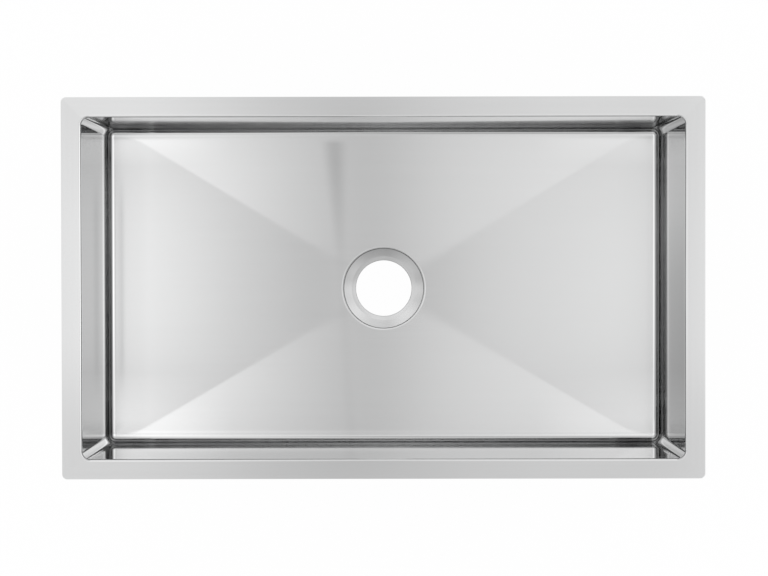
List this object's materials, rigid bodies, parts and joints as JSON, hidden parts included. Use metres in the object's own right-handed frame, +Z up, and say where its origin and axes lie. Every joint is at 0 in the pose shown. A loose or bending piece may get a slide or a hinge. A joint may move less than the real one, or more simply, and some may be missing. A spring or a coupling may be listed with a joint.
{
  "type": "undermount kitchen sink",
  "caption": "Rectangular single-bowl undermount kitchen sink in brushed steel sheet, with a flat mitred flange, straight walls, a creased floor and a central round drain seat.",
  "frame": {"origin": "under the middle of the rim, at the level of the drain neck's lower edge", "axes": "+X along the long side, +Y towards the back, +Z up through the open top"},
  "size_m": [0.8128, 0.4826, 0.2645],
  "materials": {
    "steel": "brushed, satin",
    "sound_coat": "sprayed, finely pebbled",
    "pad_rubber": "matte rubber sheet"
  },
  "bodies": {
    "root": {"wall_front": "steel", "wall_back": "steel", "wall_left": "steel", "wall_right": "steel", "corner_front_left": "steel", "corner_front_right": "steel", "corner_back_left": "steel", "corner_back_right": "steel", "floor_pan": "steel", "drain_seat": "steel", "rim_welds": "steel", "undercoat": "sound_coat", "wall_pad_front": "pad_rubber", "wall_pad_back": "pad_rubber", "wall_pad_left": "pad_rubber", "wall_pad_right": "pad_rubber", "floor_pad_front": "pad_rubber", "floor_pad_back": "pad_rubber", "floor_pad_left": "pad_rubber", "floor_pad_right": "pad_rubber"}
  },
  "joints": []
}
